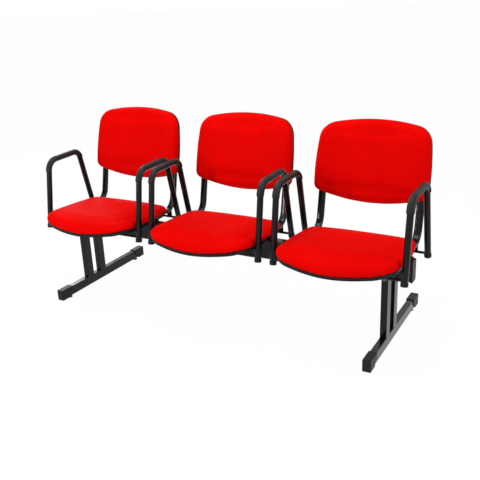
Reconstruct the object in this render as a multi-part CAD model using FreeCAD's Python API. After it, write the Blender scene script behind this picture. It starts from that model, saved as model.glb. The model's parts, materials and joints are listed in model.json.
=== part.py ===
import FreeCAD, Part
import math
import os

# Beam seating for three people: upholstered seats and backs with armrests on one steel beam.
# Millimetres, +X along the row, -Y is where the sitters face, +Z up.
# Depths in this file are counted from the middle of the beam. The last step moves the whole row
# so that its origin is the centre of its footprint, on the floor.

V = FreeCAD.Vector

# Row
PLACES = ("left", "middle", "right")
PITCH = 550.0
PLACE_CENTRES = (-PITCH, 0.0, PITCH)

# Beam
BEAM_HALF_LENGTH = 778.0
BEAM_TALL = 80.0
BEAM_DEEP = 40.0
BEAM_TOP = 345.5
BEAM_WALL = 2.5
BEAM_CORNER = 5.0
BEAM_BOTTOM = BEAM_TOP - BEAM_TALL
PLUG_RIM = 8.0
PLUG_PROUD = 2.2
PLUG_TONGUE = 24.0
PLUG_WALL = 3.0

# Legs
LEG_X = 700.0
LEG_WIDE = 25.0
LEG_WALL = 2.0
POST_DEEP = 40.0
POST_GAP = 46.0
POST_TOP = 340.0
SADDLE_STEEL = 3.0
SADDLE_LONG = 64.0
FOOT_FRONT = -243.0
FOOT_REAR = 356.0
FOOT_LOW = 9.5
FOOT_TALL = 40.0
FOOT_TOP = FOOT_LOW + FOOT_TALL
CAP_SKIN = 3.4
CAP_END = 9.0
CAP_TOP_LONG = 68.0
CAP_BOTTOM_LONG = 40.0
CAP_ROUND = 3.0
GLIDE_IN = 58.0
GLIDE_RADIUS = 12.0
GLIDE_NECK = 8.5
GLIDE_TALL = 9.0
STUD_RADIUS = 4.0
STUD_TOP = 38.0
NUT_BORE = 4.5
NUT_RADIUS = 8.0
NUT_TALL = 10.0
LEG_BOLT_RADIUS = 5.0
LEG_BOLT_RISE = 20.0

# Seat. Heights above the rim plane, where red meets black, are called lift. Its front rolls down.
SEAT_RAKE = 2.3
RIM_HEIGHT = 357.5
SEAT_FRONT = -256.9
SEAT_ROLL_FROM = -188.0
SEAT_ROLL = 111.0
SEAT_ARCS = ((544.0, 16.8), (95.5, 88.0), (1527.0, 96.8), (42.5, 172.0))
SEAT_SIDE = ((0.0, 4.0), (4.5, 1.0), (9.5, 0.0), (16.5, 1.5), (23.0, 6.0), (29.0, 14.0))
SEAT_CROWN = ((33.5, 0.83), (36.5, 0.55), (37.5, 0.2))
BOARD_INSET = 12.0
BOARD_LIFT = 9.0
BOARD_THICK = 10.0
SEAT_COVER_DROP = 14.0
COVER_SKIN = 3.0
COVER_LIP = 2.5
RIB_THICK = 2.0
RIB_DROP = 5.0
RIB_STEP = 70.0
SEAT_SCREW_DEPTHS = (-110.0, 70.0)

# Flat-oval tubes that carry seat and back
TUBE_X = 195.0
TUBE_WIDE = 30.0
TUBE_THICK = 15.0
TUBE_LIFT = -1.5
TUBE_FRONT = -166.0
TUBE_KNEE = 175.2
TUBE_BEND = 62.0
TUBE_TOP = 700.0
TUBE_PLUG = 3.0
PLATE_HALF = 227.0
PLATE_DEEP = 60.0
PLATE_BOLT_XS = (-220.0, -90.0, 90.0, 220.0)
PLATE_BOLT_RADIUS = 4.0
PLATE_BOLT_FLATS = 13.0

# Screws of the seats and backs
SCREW_RADIUS = 3.0
SCREW_HEAD = 3.0
SCREW_FLATS = 10.0

# Back. Its own frame leans by BACK_LEAN about a point on the front of the board.
BACK_LEAN = 12.0
BACK_DEPTH = 203.8
BACK_HEIGHT = 500.0
BACK_BOW = 1200.0
BACK_FOOT = -30.6
BACK_ARCS = ((684.0, 17.2), (32.0, 88.0), (1165.0, 96.9), (72.5, 168.0))
BACK_PAD = ((12.0, 1.5), (7.0, 0.5), (0.0, 1.5), (-8.0, 4.5), (-16.0, 9.5), (-23.0, 17.0),
            (-28.0, 27.0))
BACK_CROWN = ((-32.0, 0.78), (-35.0, 0.5), (-36.0, 0.18))
BACK_BOARD_INSET = 16.0
BACK_BOARD_THICK = 10.0
BACK_SKIRT = 12.0
BACK_COVER = ((12.0, 0.8), (16.0, 0.0), (22.0, 2.5), (30.0, 11.0), (36.0, 25.0))
BACK_COVER_CROWN = ((38.0, 0.7), (39.0, 0.3))
BACK_SCREW_HEIGHTS = (70.0, 150.0)
PILLAR_RADIUS = 5.0
PILLAR_PLACES = ((-120.0, 50.0), (120.0, 50.0), (-120.0, 220.0), (120.0, 220.0))

# Armrests
ARM_X = 243.5
ARM_TUBE = 12.0
ARM_FRONT_FOOT = (-150.0, 311.0)
ARM_FRONT_TOP = (-105.6, 598.0)
ARM_REAR_TOP = (84.0, 602.0)
ARM_REAR_FOOT = (151.0, 307.0)
ARM_BENDS = (50.0, 42.0)
ARM_CAP_SKIN = 1.5
ARM_CAP_TALL = 15.0
ARM_CAP_FLOOR = 3.0
PAD_WIDE = 29.5
PAD_TALL = 28.0
PAD_FRONT_HEIGHT = 552.0
PAD_REAR_HEIGHT = 570.0
ROD_RADIUS = 5.0
ROD_FRONT = (-147.4, 328.0)
ROD_REAR = (148.2, 319.0)
TAB_WIDE = 24.0
TAB_STEEL = 4.0

CLEAR = 0.3

# From the middle of the beam to the middle of the footprint: seat front to the rear foot caps
SEAT_REACH = 257.3
ROW_SHIFT = -(FOOT_REAR - SEAT_REACH) / 2


def block(x0, x1, y0, y1, z0, z1):
    return Part.makeBox(x1 - x0, y1 - y0, z1 - z0, V(x0, y0, z0))


def rod(start, end, radius):
    way = end.sub(start)
    return Part.makeCylinder(radius, way.Length, start, way)


def fuse_all(shapes):
    whole = shapes[0]
    for shape in shapes[1:]:
        whole = whole.fuse(shape)
    return whole.removeSplitter()


def prism(wire, way):
    return Part.Face(wire).extrude(way)


def rounded_rectangle(half_wide, half_tall, corner):
    """Closed wire about the origin, wide along X and tall along Y."""
    wide, tall = half_wide - corner, half_tall - corner
    edges = []
    for turn, (x, y) in enumerate(((wide, tall), (-wide, tall), (-wide, -tall), (wide, -tall))):
        first = math.radians(90.0 * turn)
        points = []
        for part in (0.0, 0.5, 1.0):
            angle = first + part * math.pi / 2
            points.append(V(x + corner * math.cos(angle), y + corner * math.sin(angle), 0))
        edges.append(points)
    parts = []
    for here, after in zip(edges, edges[1:] + edges[:1]):
        parts.append(Part.Arc(*here).toShape())
        parts.append(Part.LineSegment(here[2], after[0]).toShape())
    return Part.Wire(parts)


def hexagon(flats, centre, way, tall):
    """Hexagon head or nut: flats is its width across flats."""
    side = flats / math.sqrt(3.0)
    points = []
    for turn in range(7):
        angle = math.radians(60.0 * turn)
        points.append(V(side * math.cos(angle), side * math.sin(angle), 0))
    head = prism(Part.makePolygon(points), V(0, 0, tall))
    head.Placement = FreeCAD.Placement(centre, FreeCAD.Rotation(V(0, 0, 1), way))
    return head


# Outlines of tangent arcs

def arc_chain(arcs):
    """Right half of an outline: arcs as (centre x, centre y, radius, first and last heading).

    It starts on the centre line, runs to +X and turns left. Each entry of arcs is a radius and
    the heading in degrees at which that arc ends. A last arc closes the half on the centre line.
    """
    chain = []
    x, y, heading = 0.0, 0.0, 0.0
    for radius, last in arcs:
        a, b = math.radians(heading), math.radians(last)
        chain.append((x - radius * math.sin(a), y + radius * math.cos(a), radius, heading, last))
        x += radius * (math.sin(b) - math.sin(a))
        y += radius * (math.cos(a) - math.cos(b))
        heading = last
    radius = x / math.sin(math.radians(heading))
    a = math.radians(heading)
    chain.append((x - radius * math.sin(a), y + radius * math.cos(a), radius, heading, 180.0))
    return chain


def chain_reach(chain):
    x, y, radius, first, last = chain[-1]
    return y + radius


def outline_points(chain, inset, scale, middle):
    """Start, middle and end points of every arc, right half then left half."""
    def place(x, y, radius, heading):
        angle = math.radians(heading)
        px = x + (radius - inset) * math.sin(angle)
        py = y - (radius - inset) * math.cos(angle)
        return px * scale, middle + (py - middle) * scale

    right = []
    for x, y, radius, first, last in chain:
        right.append([place(x, y, radius, h) for h in (first, (first + last) / 2, last)])
    ends = [right[0], right[-1]]
    sides = right[1:-1]
    (low_mid, _, low_end), (top_start, _, top_mid) = ends[0], ends[1]
    loop = [[(-low_end[0], low_end[1]), low_mid, low_end]]
    loop += sides
    loop.append([top_start, top_mid, (-top_start[0], top_start[1])])
    for arc in reversed(sides):
        loop.append([(-x, y) for x, y in reversed(arc)])
    return loop


def wire_of(loop, to_space):
    edges = []
    for arc in loop:
        edges.append(Part.Arc(*[to_space(x, y) for x, y in arc]).toShape())
    return Part.Wire(edges)


SEAT_CHAIN = arc_chain(SEAT_ARCS)
SEAT_LONG = chain_reach(SEAT_CHAIN)
BACK_CHAIN = arc_chain(BACK_ARCS)
BACK_TALL = chain_reach(BACK_CHAIN)


def seat_fall(depth):
    """How far the front of the seat has rolled down at a depth."""
    run = max(0.0, SEAT_ROLL_FROM - depth)
    return SEAT_ROLL - math.sqrt(SEAT_ROLL ** 2 - run ** 2)


def seat_wire(lift, inset, scale=1.0, rolled=True):
    """Seat outline at a lift above the rim plane, in the seat's own level frame."""
    loop = outline_points(SEAT_CHAIN, inset, scale, SEAT_LONG / 2)

    def to_space(x, y):
        depth = y + SEAT_FRONT
        fall = seat_fall(depth) if rolled else 0.0
        return V(x, depth, lift - fall)

    return wire_of(loop, to_space)


def seat_layer(low, high):
    """Everything between two lifts above the rolled rim plane."""
    front = SEAT_ROLL_FROM - 0.9 * SEAT_ROLL
    middle = (front + SEAT_ROLL_FROM) / 2
    far = SEAT_LONG

    def edge(lift):
        spots = [V(-SEAT_LONG, y, lift - seat_fall(y)) for y in (front, middle, SEAT_ROLL_FROM)]
        return spots, V(-SEAT_LONG, far, lift)

    (low_arc, low_end), (high_arc, high_end) = edge(low), edge(high)
    lines = ((low_arc[-1], low_end), (low_end, high_end), (high_end, high_arc[-1]))
    edges = [Part.Arc(*low_arc).toShape()]
    edges += [Part.LineSegment(*line).toShape() for line in lines]
    edges.append(Part.Arc(*reversed(high_arc)).toShape())
    edges.append(Part.LineSegment(high_arc[0], low_arc[0]).toShape())
    return prism(Part.Wire(edges), V(2 * SEAT_LONG, 0, 0))


def seat_slab(inset, low, high):
    """A layer of the seat, cut to its outline."""
    column = prism(seat_wire(-SEAT_ROLL, inset, rolled=False), V(0, 0, 2 * SEAT_ROLL))
    return column.common(seat_layer(low, high))


def back_wire(depth, inset, scale=1.0, bowed=True):
    """Back outline at a depth behind the board's front, bowed in plan about the sitter."""
    loop = outline_points(BACK_CHAIN, inset, scale, BACK_TALL / 2)

    def to_space(x, y):
        bow = x * x / (2 * BACK_BOW) if bowed else 0.0
        return V(x, depth - bow, y + BACK_FOOT)

    return wire_of(loop, to_space)


def bow_cylinder(depth):
    """Everything in front of a bowed surface that lies at this depth on the centre line."""
    radius = BACK_BOW + depth
    return Part.makeCylinder(radius, 3 * BACK_TALL, V(0, -BACK_BOW, -BACK_TALL))


def lay_seat(shape):
    shape.rotate(V(0, 0, 0), V(1, 0, 0), -SEAT_RAKE)
    shape.translate(V(0, 0, RIM_HEIGHT))
    return shape


def lean_back(shape):
    shape.rotate(V(0, 0, 0), V(1, 0, 0), -BACK_LEAN)
    shape.translate(V(0, BACK_DEPTH, BACK_HEIGHT))
    return shape


def rim_height(depth):
    return RIM_HEIGHT - depth * math.tan(math.radians(SEAT_RAKE))


# Bent tubes

def bent_path(points, radii, x):
    """Straight runs and tangent arcs through (depth, height) points, in the plane at x."""
    spots = [V(x, y, z) for y, z in points]
    edges = []
    start = spots[0]
    for before, corner, after, radius in zip(spots, spots[1:], spots[2:], radii):
        back = before.sub(corner).normalize()
        on = after.sub(corner).normalize()
        half = back.getAngle(on) / 2
        reach = radius / math.tan(half)
        leave = corner.add(V(back).multiply(reach))
        join = corner.add(V(on).multiply(reach))
        inwards = back.add(on).normalize()
        centre = corner.add(V(inwards).multiply(radius / math.sin(half)))
        middle = centre.sub(V(inwards).multiply(radius))
        edges.append(Part.LineSegment(start, leave).toShape())
        edges.append(Part.Arc(leave, middle, join).toShape())
        start = join
    edges.append(Part.LineSegment(start, spots[-1]).toShape())
    return Part.Wire(edges)


def sweep(path, profile):
    """Sweep a closed wire, drawn about the origin with its second axis up, along a path."""
    edge = path.Edges[0]
    start = edge.Vertexes[0].Point
    way = edge.tangentAt(edge.FirstParameter)
    side = V(1, 0, 0)
    up = way.cross(side)
    turn = FreeCAD.Rotation(side, up, way, "XZY")
    shape = profile.copy()
    shape.Placement = FreeCAD.Placement(start, turn)
    return path.makePipeShell([shape], True, False)


def stadium(half_wide, half_thick):
    flat = half_wide - half_thick
    points = ((flat, -half_thick), (half_wide, 0), (flat, half_thick))
    right = Part.Arc(*[V(x, y, 0) for x, y in points]).toShape()
    left = Part.Arc(*[V(-x, -y, 0) for x, y in points]).toShape()
    top = Part.LineSegment(V(flat, half_thick, 0), V(-flat, half_thick, 0)).toShape()
    low = Part.LineSegment(V(-flat, -half_thick, 0), V(flat, -half_thick, 0)).toShape()
    return Part.Wire([right, top, left, low])


def circle_wire(radius):
    return Part.Wire([Part.makeCircle(radius)])


def oval_wire(half_wide, half_tall):
    """Section of the arm pads: almost an oval, with short flats."""
    return rounded_rectangle(half_wide, half_tall, 0.82 * half_tall)


# Beam and its plugs

def tube_along_x(half_length, tall, deep, wall, corner, middle):
    outer = rounded_rectangle(tall / 2, deep / 2, corner)
    inner = rounded_rectangle(tall / 2 - wall, deep / 2 - wall, corner - wall)
    shell = prism(outer, V(0, 0, 2 * half_length)).cut(prism(inner, V(0, 0, 2 * half_length)))
    shell.rotate(V(0, 0, 0), V(0, 1, 0), 90)
    shell.translate(V(-half_length, 0, middle))
    return shell


def make_beam():
    middle = BEAM_TOP - BEAM_TALL / 2
    beam = tube_along_x(BEAM_HALF_LENGTH, BEAM_TALL, BEAM_DEEP, BEAM_WALL, BEAM_CORNER, middle)
    holes = []
    for side in (-1, 1):
        for rise in (-LEG_BOLT_RISE, LEG_BOLT_RISE):
            z = middle + rise
            holes.append(rod(V(side * LEG_X, -50, z), V(side * LEG_X, 50, z), LEG_BOLT_RADIUS))
    for centre in PLACE_CENTRES:
        for x in PLATE_BOLT_XS:
            low, high = V(centre + x, 0, BEAM_TOP - 20), V(centre + x, 0, BEAM_TOP + 5)
            holes.append(rod(low, high, PLATE_BOLT_RADIUS))
    return beam.cut(holes)


def make_plug(side):
    """End plug: a rim over the end of the beam and a hollow tongue, slotted for the plate bolt."""
    middle = BEAM_TOP - BEAM_TALL / 2
    tall, deep = BEAM_TALL / 2 + PLUG_PROUD, BEAM_DEEP / 2 + PLUG_PROUD
    rim = prism(rounded_rectangle(tall, deep, BEAM_CORNER + PLUG_PROUD), V(0, 0, PLUG_RIM))
    outer_edges = [edge for edge in rim.Edges if abs(edge.CenterOfMass.z - PLUG_RIM) < 0.01]
    rim = rim.makeFillet(2.5, outer_edges)
    inside = BEAM_WALL + 0.2
    tongue = prism(rounded_rectangle(BEAM_TALL / 2 - inside, BEAM_DEEP / 2 - inside, 2.3),
                   V(0, 0, -PLUG_TONGUE))
    core = inside + PLUG_WALL
    hollow = prism(rounded_rectangle(BEAM_TALL / 2 - core, BEAM_DEEP / 2 - core, 1.5),
                   V(0, 0, -PLUG_TONGUE))
    plug = rim.fuse(tongue.cut(hollow)).removeSplitter()
    plug.rotate(V(0, 0, 0), V(0, 1, 0), 90)
    plug.translate(V(BEAM_HALF_LENGTH, 0, middle))
    bolt = PITCH + PLATE_BOLT_XS[-1]
    room = PLATE_BOLT_RADIUS + 1
    slot = block(BEAM_HALF_LENGTH - PLUG_TONGUE - 1, bolt + room, -room, room, middle, BEAM_TOP)
    plug = plug.cut(slot)
    if side < 0:
        plug.rotate(V(0, 0, 0), V(0, 0, 1), 180)
    return plug


# Legs

def rectangular_tube(x, y0, y1, z0, z1, wall, along):
    """Leg tube, open at its ends along "y" or "z"."""
    half = LEG_WIDE / 2
    outer = block(x - half, x + half, y0, y1, z0, z1)
    long_edges = []
    for edge in outer.Edges:
        way = edge.tangentAt(edge.FirstParameter)
        if abs(getattr(way, along)) > 0.9:
            long_edges.append(edge)
    in_y, in_z = (-1, wall) if along == "y" else (wall, -1)
    bore = block(x - half + wall, x + half - wall, y0 + in_y, y1 - in_y, z0 + in_z, z1 - in_z)
    return outer.makeFillet(wall, long_edges).cut(bore)


def glide_depths():
    return (FOOT_FRONT + GLIDE_IN, FOOT_REAR - GLIDE_IN)


def make_foot(x):
    front, rear = FOOT_FRONT + CAP_END, FOOT_REAR - CAP_END
    foot = rectangular_tube(x, front, rear, FOOT_LOW, FOOT_TOP, LEG_WALL, "y")
    top = FOOT_LOW + LEG_WALL + 1
    return foot.cut([rod(V(x, y, 0), V(x, y, top), NUT_BORE + 1) for y in glide_depths()])


def make_foot_cap(x, end):
    """Sleeve over one end of a foot. Its open edge slants: long on top, short below."""
    way = 1 if end > 0 else -1
    half = LEG_WIDE / 2 + CAP_SKIN
    tip = way * end
    low, high = FOOT_LOW - CAP_SKIN, FOOT_TOP + CAP_SKIN
    corners = ((tip - CAP_BOTTOM_LONG, low), (tip, low), (tip, high), (tip - CAP_TOP_LONG, high),
               (tip - CAP_TOP_LONG, high - FOOT_TALL / 2))
    points = [V(x - half, way * y, z) for y, z in corners]
    sleeve = prism(Part.makePolygon(points + points[:1]), V(2 * half, 0, 0))
    tip_edges = []
    for edge in sleeve.Edges:
        at = edge.CenterOfMass
        long_side = abs(edge.tangentAt(edge.FirstParameter).y) > 0.99
        if abs(at.y - end) < 0.01 or long_side:
            tip_edges.append(edge)
    sleeve = sleeve.makeFillet(CAP_ROUND, tip_edges)
    near, far = sorted((end - way * CAP_END, end - way * 200))
    core = block(x - LEG_WIDE / 2, x + LEG_WIDE / 2, near, far, FOOT_LOW, FOOT_TOP)
    glide_y = end - way * GLIDE_IN
    glide_way = rod(V(x, glide_y, 0), V(x, glide_y, FOOT_LOW + 1), GLIDE_RADIUS + 1.5)
    return sleeve.cut(core).cut(glide_way)


def make_posts(x):
    """Two uprights on the foot and the pressed cradle between them that takes the beam."""
    near = POST_GAP / 2
    holes = []
    for rise in (-LEG_BOLT_RISE, LEG_BOLT_RISE):
        z = BEAM_TOP - BEAM_TALL / 2 + rise
        holes.append(rod(V(x, -90, z), V(x, 90, z), LEG_BOLT_RADIUS))
    solids = []
    for side in (-1, 1):
        y0, y1 = sorted((side * near, side * (near + POST_DEEP)))
        post = rectangular_tube(x, y0, y1, FOOT_TOP, POST_TOP, LEG_WALL, "z")
        solids.append(post.cut(holes))
    low = BEAM_BOTTOM - SADDLE_STEEL
    outer = block(x - SADDLE_LONG / 2, x + SADDLE_LONG / 2, -near, near, low, POST_TOP - 4)
    bends = [edge for edge in outer.Edges
             if abs(edge.CenterOfMass.z - low) < 0.01 and abs(edge.CenterOfMass.x - x) < 0.01]
    outer = outer.makeFillet(SADDLE_STEEL + 1, bends)
    room = block(x - SADDLE_LONG, x + SADDLE_LONG, -BEAM_DEEP / 2, BEAM_DEEP / 2, BEAM_BOTTOM, POST_TOP)
    solids.append(outer.cut(room).cut(holes))
    return Part.makeCompound(solids)


def make_leg_bolts():
    """Hexagon bolts through both uprights, the cradle and the beam, each with its nut."""
    solids = []
    front = -POST_GAP / 2 - POST_DEEP
    for side in (-1, 1):
        for rise in (-LEG_BOLT_RISE, LEG_BOLT_RISE):
            x, z = side * LEG_X, BEAM_TOP - BEAM_TALL / 2 + rise
            shank = rod(V(x, front, z), V(x, -front + 10, z), LEG_BOLT_RADIUS)
            head = hexagon(17, V(x, front, z), V(0, -1, 0), 6.5)
            nut = hexagon(17, V(x, -front, z), V(0, 1, 0), 8)
            solids.append(shank.fuse(head).removeSplitter())
            solids.append(nut.cut(shank))
    return Part.makeCompound(solids)


def make_glide(x, y):
    """Screw-in foot: a tapered disc with a raised edge and its stud."""
    foot = Part.makeCone(GLIDE_RADIUS, GLIDE_NECK, GLIDE_TALL - 3, V(x, y, 3))
    disc = Part.makeCylinder(GLIDE_RADIUS, 3, V(x, y, 0))
    stud = Part.makeCylinder(STUD_RADIUS, STUD_TOP - GLIDE_TALL, V(x, y, GLIDE_TALL))
    return fuse_all([disc, foot, stud])


def make_glide_nuts():
    solids = []
    for side in (-1, 1):
        for y in glide_depths():
            base = V(side * LEG_X, y, FOOT_LOW + LEG_WALL)
            nut = Part.makeCylinder(NUT_RADIUS, NUT_TALL, base)
            solids.append(nut.cut(Part.makeCylinder(NUT_BORE, NUT_TALL, base)))
    return Part.makeCompound(solids)


# Seat tubes, plate and boards, drawn about one place's centre line

def tube_points():
    low = rim_height(TUBE_KNEE) + TUBE_LIFT
    lean = math.tan(math.radians(BACK_LEAN))
    top_depth = TUBE_KNEE + (TUBE_TOP - low) * lean
    return ((TUBE_FRONT, rim_height(TUBE_FRONT) + TUBE_LIFT), (TUBE_KNEE, low), (top_depth, TUBE_TOP))


def tube_back_depth():
    """Rear of the tubes in the back's own frame, where they stand parallel to the back."""
    lean = math.radians(BACK_LEAN)
    depth, height = tube_points()[-1]
    middle = (depth - BACK_DEPTH) * math.cos(lean) - (height - BACK_HEIGHT) * math.sin(lean)
    return middle + TUBE_THICK / 2


def seat_screw(x, depth):
    """Shank from under the tube into the seat board, and where its head sits."""
    low, high = TUBE_LIFT - TUBE_THICK / 2, BOARD_LIFT + BOARD_THICK - 3
    return rod(V(x, depth, low), V(x, depth, high), SCREW_RADIUS), V(x, depth, low)


def back_screw(x, height):
    """Shank from behind the tube into the back board, and where its head sits."""
    near, far = 3 - x * x / (2 * BACK_BOW), tube_back_depth()
    return rod(V(x, near, height), V(x, far, height), SCREW_RADIUS), V(x, far, height)


def seat_screw_holes(x):
    return [lay_seat(seat_screw(x, depth)[0]) for depth in SEAT_SCREW_DEPTHS]


def back_screw_holes(x):
    return [lean_back(back_screw(x, height)[0]) for height in BACK_SCREW_HEIGHTS]


def back_tube_solid(x, grow=0.0):
    profile = stadium(TUBE_WIDE / 2 + grow, TUBE_THICK / 2 + grow)
    return sweep(bent_path(tube_points(), (TUBE_BEND,), x), profile)


def make_back_tube(x):
    return back_tube_solid(x).cut(seat_screw_holes(x) + back_screw_holes(x))


def make_tube_plugs():
    """Flanges on the front ends of the two tubes of one place."""
    front, knee = [V(0, y, z) for y, z in tube_points()[:2]]
    turn = FreeCAD.Rotation(V(0, 0, 1), front.sub(knee))
    solids = []
    for side in (-1, 1):
        flange = prism(stadium(TUBE_WIDE / 2, TUBE_THICK / 2), V(0, 0, TUBE_PLUG))
        outer_edges = [edge for edge in flange.Edges if edge.CenterOfMass.z > TUBE_PLUG - 0.01]
        flange = flange.makeChamfer(TUBE_PLUG / 3, outer_edges)
        flange.Placement = FreeCAD.Placement(front.add(V(side * TUBE_X, 0, 0)), turn)
        solids.append(flange)
    return solids


def make_seat_plate():
    """Saddle plate: level under its belly on the beam, raked on top to carry the tubes."""
    top = lay_seat(block(-PLATE_HALF, PLATE_HALF, -100, 100, -40, TUBE_LIFT - TUBE_THICK / 2))
    corner = 10.0
    slab = prism(rounded_rectangle(PLATE_HALF, PLATE_DEEP / 2, corner), V(0, 0, 12))
    slab.translate(V(0, 0, BEAM_TOP))
    low, seat, high = V(0, 0, BEAM_TOP - 5), V(0, 0, plate_bolt_seat()), V(0, 0, BEAM_TOP + 15)
    hole = rod(low, high, PLATE_BOLT_RADIUS).fuse(rod(seat, high, PLATE_BOLT_FLATS * 0.62))
    return slab.common(top).cut([moved(hole, x) for x in PLATE_BOLT_XS])


def plate_bolt_seat():
    """Height of the level spot faces under the bolt heads, just below the raked top."""
    return rim_height(PLATE_BOLT_FLATS * 0.62) + TUBE_LIFT - TUBE_THICK / 2


def make_plate_bolts():
    seat = plate_bolt_seat()
    solids = []
    for x in PLATE_BOLT_XS:
        shank = rod(V(x, 0, BEAM_TOP - 14), V(x, 0, seat), PLATE_BOLT_RADIUS)
        head = hexagon(PLATE_BOLT_FLATS, V(x, 0, seat), V(0, 0, 1), 5.3)
        solids.append(shank.fuse(head).removeSplitter())
    return solids


def make_seat_board():
    board = lay_seat(seat_slab(BOARD_INSET, BOARD_LIFT, BOARD_LIFT + BOARD_THICK))
    for side in (-1, 1):
        board = board.cut(seat_screw_holes(side * TUBE_X))
    return board


def tube_channels(high):
    """Room under the seat where the two tubes run."""
    room = []
    for side in (-1, 1):
        half = TUBE_WIDE / 2 + CLEAR
        x = side * TUBE_X
        room.append(block(x - half, x + half, TUBE_FRONT - 6, 300, -20, high + CLEAR))
    return room


def make_seat_cushion():
    """Foam and cloth: crowned on top, rolled down in front, with a pocket for the board."""
    below = -2 * SEAT_COVER_DROP
    wires = [seat_wire(2 * below, SEAT_SIDE[0][1], rolled=False)]
    wires += [seat_wire(lift, inset) for lift, inset in SEAT_SIDE]
    wires += [seat_wire(lift, SEAT_SIDE[-1][1], scale) for lift, scale in SEAT_CROWN[:-1]]
    lift, scale = SEAT_CROWN[-1]
    wires.append(seat_wire(lift, SEAT_SIDE[-1][1], scale, rolled=False))
    pad = Part.makeLoft(wires, True, True).cut(seat_layer(3 * below, 0))
    pad = pad.cut(seat_slab(BOARD_INSET, below, BOARD_LIFT + BOARD_THICK))
    pad = pad.cut(tube_channels(TUBE_LIFT + TUBE_THICK / 2))
    return lay_seat(pad)


def tray_ribs():
    """Crossing ribs under the skin of the tray."""
    high = BOARD_LIFT - COVER_SKIN
    low, half = high - RIB_DROP, RIB_THICK / 2
    ribs = []
    for step in (-2, -1, 0, 1, 2):
        x = step * RIB_STEP
        ribs.append(block(x - half, x + half, -SEAT_LONG, SEAT_LONG, -SEAT_ROLL, SEAT_ROLL))
    for step in (-2, -1, 0, 1):
        y = step * RIB_STEP
        ribs.append(block(-SEAT_LONG, SEAT_LONG, y - half, y + half, -SEAT_ROLL, SEAT_ROLL))
    return fuse_all(ribs).common(seat_slab(BOARD_INSET + COVER_SKIN / 2, low, high + COVER_SKIN / 2))


def make_seat_cover():
    """Black tray: a skin under the board, a lip under the red edge and a wall that drops."""
    lip_inset, wall_inset = SEAT_SIDE[0][1] - 1, SEAT_SIDE[0][1] + 2
    below = -2 * SEAT_COVER_DROP
    rim = seat_slab(lip_inset, -2 * COVER_LIP, 0)
    rim = rim.fuse(seat_slab(wall_inset, -SEAT_COVER_DROP, -COVER_LIP))
    rim = rim.cut(seat_slab(wall_inset + COVER_SKIN, below, -COVER_LIP))
    well = seat_slab(BOARD_INSET, -COVER_LIP / 2, BOARD_LIFT)
    cavity = seat_slab(BOARD_INSET + COVER_SKIN, below, BOARD_LIFT - COVER_SKIN)
    tray = rim.fuse(well).cut(cavity)
    tray = tray.fuse(tray_ribs()).removeSplitter()
    tray = tray.cut(tube_channels(TUBE_LIFT + TUBE_THICK / 2))
    bolt_x = PLATE_BOLT_XS[-1]
    notches = ((PLATE_HALF - 27, PLATE_DEEP / 2 + 3, -COVER_LIP - 3), (bolt_x - 9, 9, -1.2))
    for side in (-1, 1):
        for near, half, high in notches:
            x0, x1 = sorted((side * near, side * SEAT_LONG))
            tray = tray.cut(block(x0, x1, -half, half, below, high))
    tray = lay_seat(tray)
    for side in (-1, 1):
        tray = tray.cut(seat_screw_holes(side * TUBE_X))
    return tray


def make_back_board():
    outline = prism(back_wire(0, BACK_BOARD_INSET, bowed=False), V(0, 60, 0))
    outline.translate(V(0, -30, 0))
    bent = bow_cylinder(BACK_BOARD_THICK).cut(bow_cylinder(0))
    board = lean_back(outline.common(bent))
    for side in (-1, 1):
        board = board.cut(back_tube_solid(side * TUBE_X)).cut(back_screw_holes(side * TUBE_X))
    return board


def make_back_cushion():
    """Foam and cloth: bowed with the board, crowned in front, with a skirt round the board."""
    wires = [back_wire(50, BACK_PAD[0][1] + 4, bowed=False)]
    wires += [back_wire(depth, inset) for depth, inset in BACK_PAD]
    wires += [back_wire(depth, BACK_PAD[-1][1], scale) for depth, scale in BACK_CROWN[:-1]]
    depth, scale = BACK_CROWN[-1]
    wires.append(back_wire(depth, BACK_PAD[-1][1], scale, bowed=False))
    pad = Part.makeLoft(wires, True, True)
    pad = pad.common(bow_cylinder(BACK_SKIRT))
    pocket = prism(back_wire(0, BACK_BOARD_INSET, bowed=False), V(0, 90, 0))
    pocket.translate(V(0, -40, 0))
    pad = lean_back(pad.cut(pocket.cut(bow_cylinder(0))))
    for side in (-1, 1):
        pad = pad.cut(back_tube_solid(side * TUBE_X, CLEAR))
    return pad


def back_shell(grow):
    last_inset = BACK_COVER[-1][1] + grow
    wires = [back_wire(-40, BACK_COVER[0][1] + grow, bowed=False)]
    wires += [back_wire(depth, inset + grow) for depth, inset in BACK_COVER]
    wires += [back_wire(depth, last_inset, scale) for depth, scale in BACK_COVER_CROWN[:-1]]
    depth, scale = BACK_COVER_CROWN[-1]
    wires.append(back_wire(depth, last_inset, scale, bowed=False))
    return Part.makeLoft(wires, True, True)


def make_back_cover():
    """Black shell behind the back: it closes on the cushion's skirt and hides the tube ends.

    Four moulded pillars inside it reach the board.
    """
    outer = back_shell(0.0).cut(bow_cylinder(BACK_SKIRT))
    inner = back_shell(COVER_SKIN)
    inner.translate(V(0, -COVER_SKIN, 0))
    pillars = []
    for x, z in PILLAR_PLACES:
        end = BACK_COVER_CROWN[0][0] - COVER_SKIN / 2 - x * x / (2 * BACK_BOW)
        pillar = rod(V(x, -end, z), V(x, end, z), PILLAR_RADIUS)
        pillars.append(pillar.cut(bow_cylinder(BACK_BOARD_THICK)))
    shell = lean_back(outer.cut(inner).fuse(pillars).removeSplitter())
    for side in (-1, 1):
        shell = shell.cut(back_tube_solid(side * TUBE_X, 1.0))
    return shell


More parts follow.
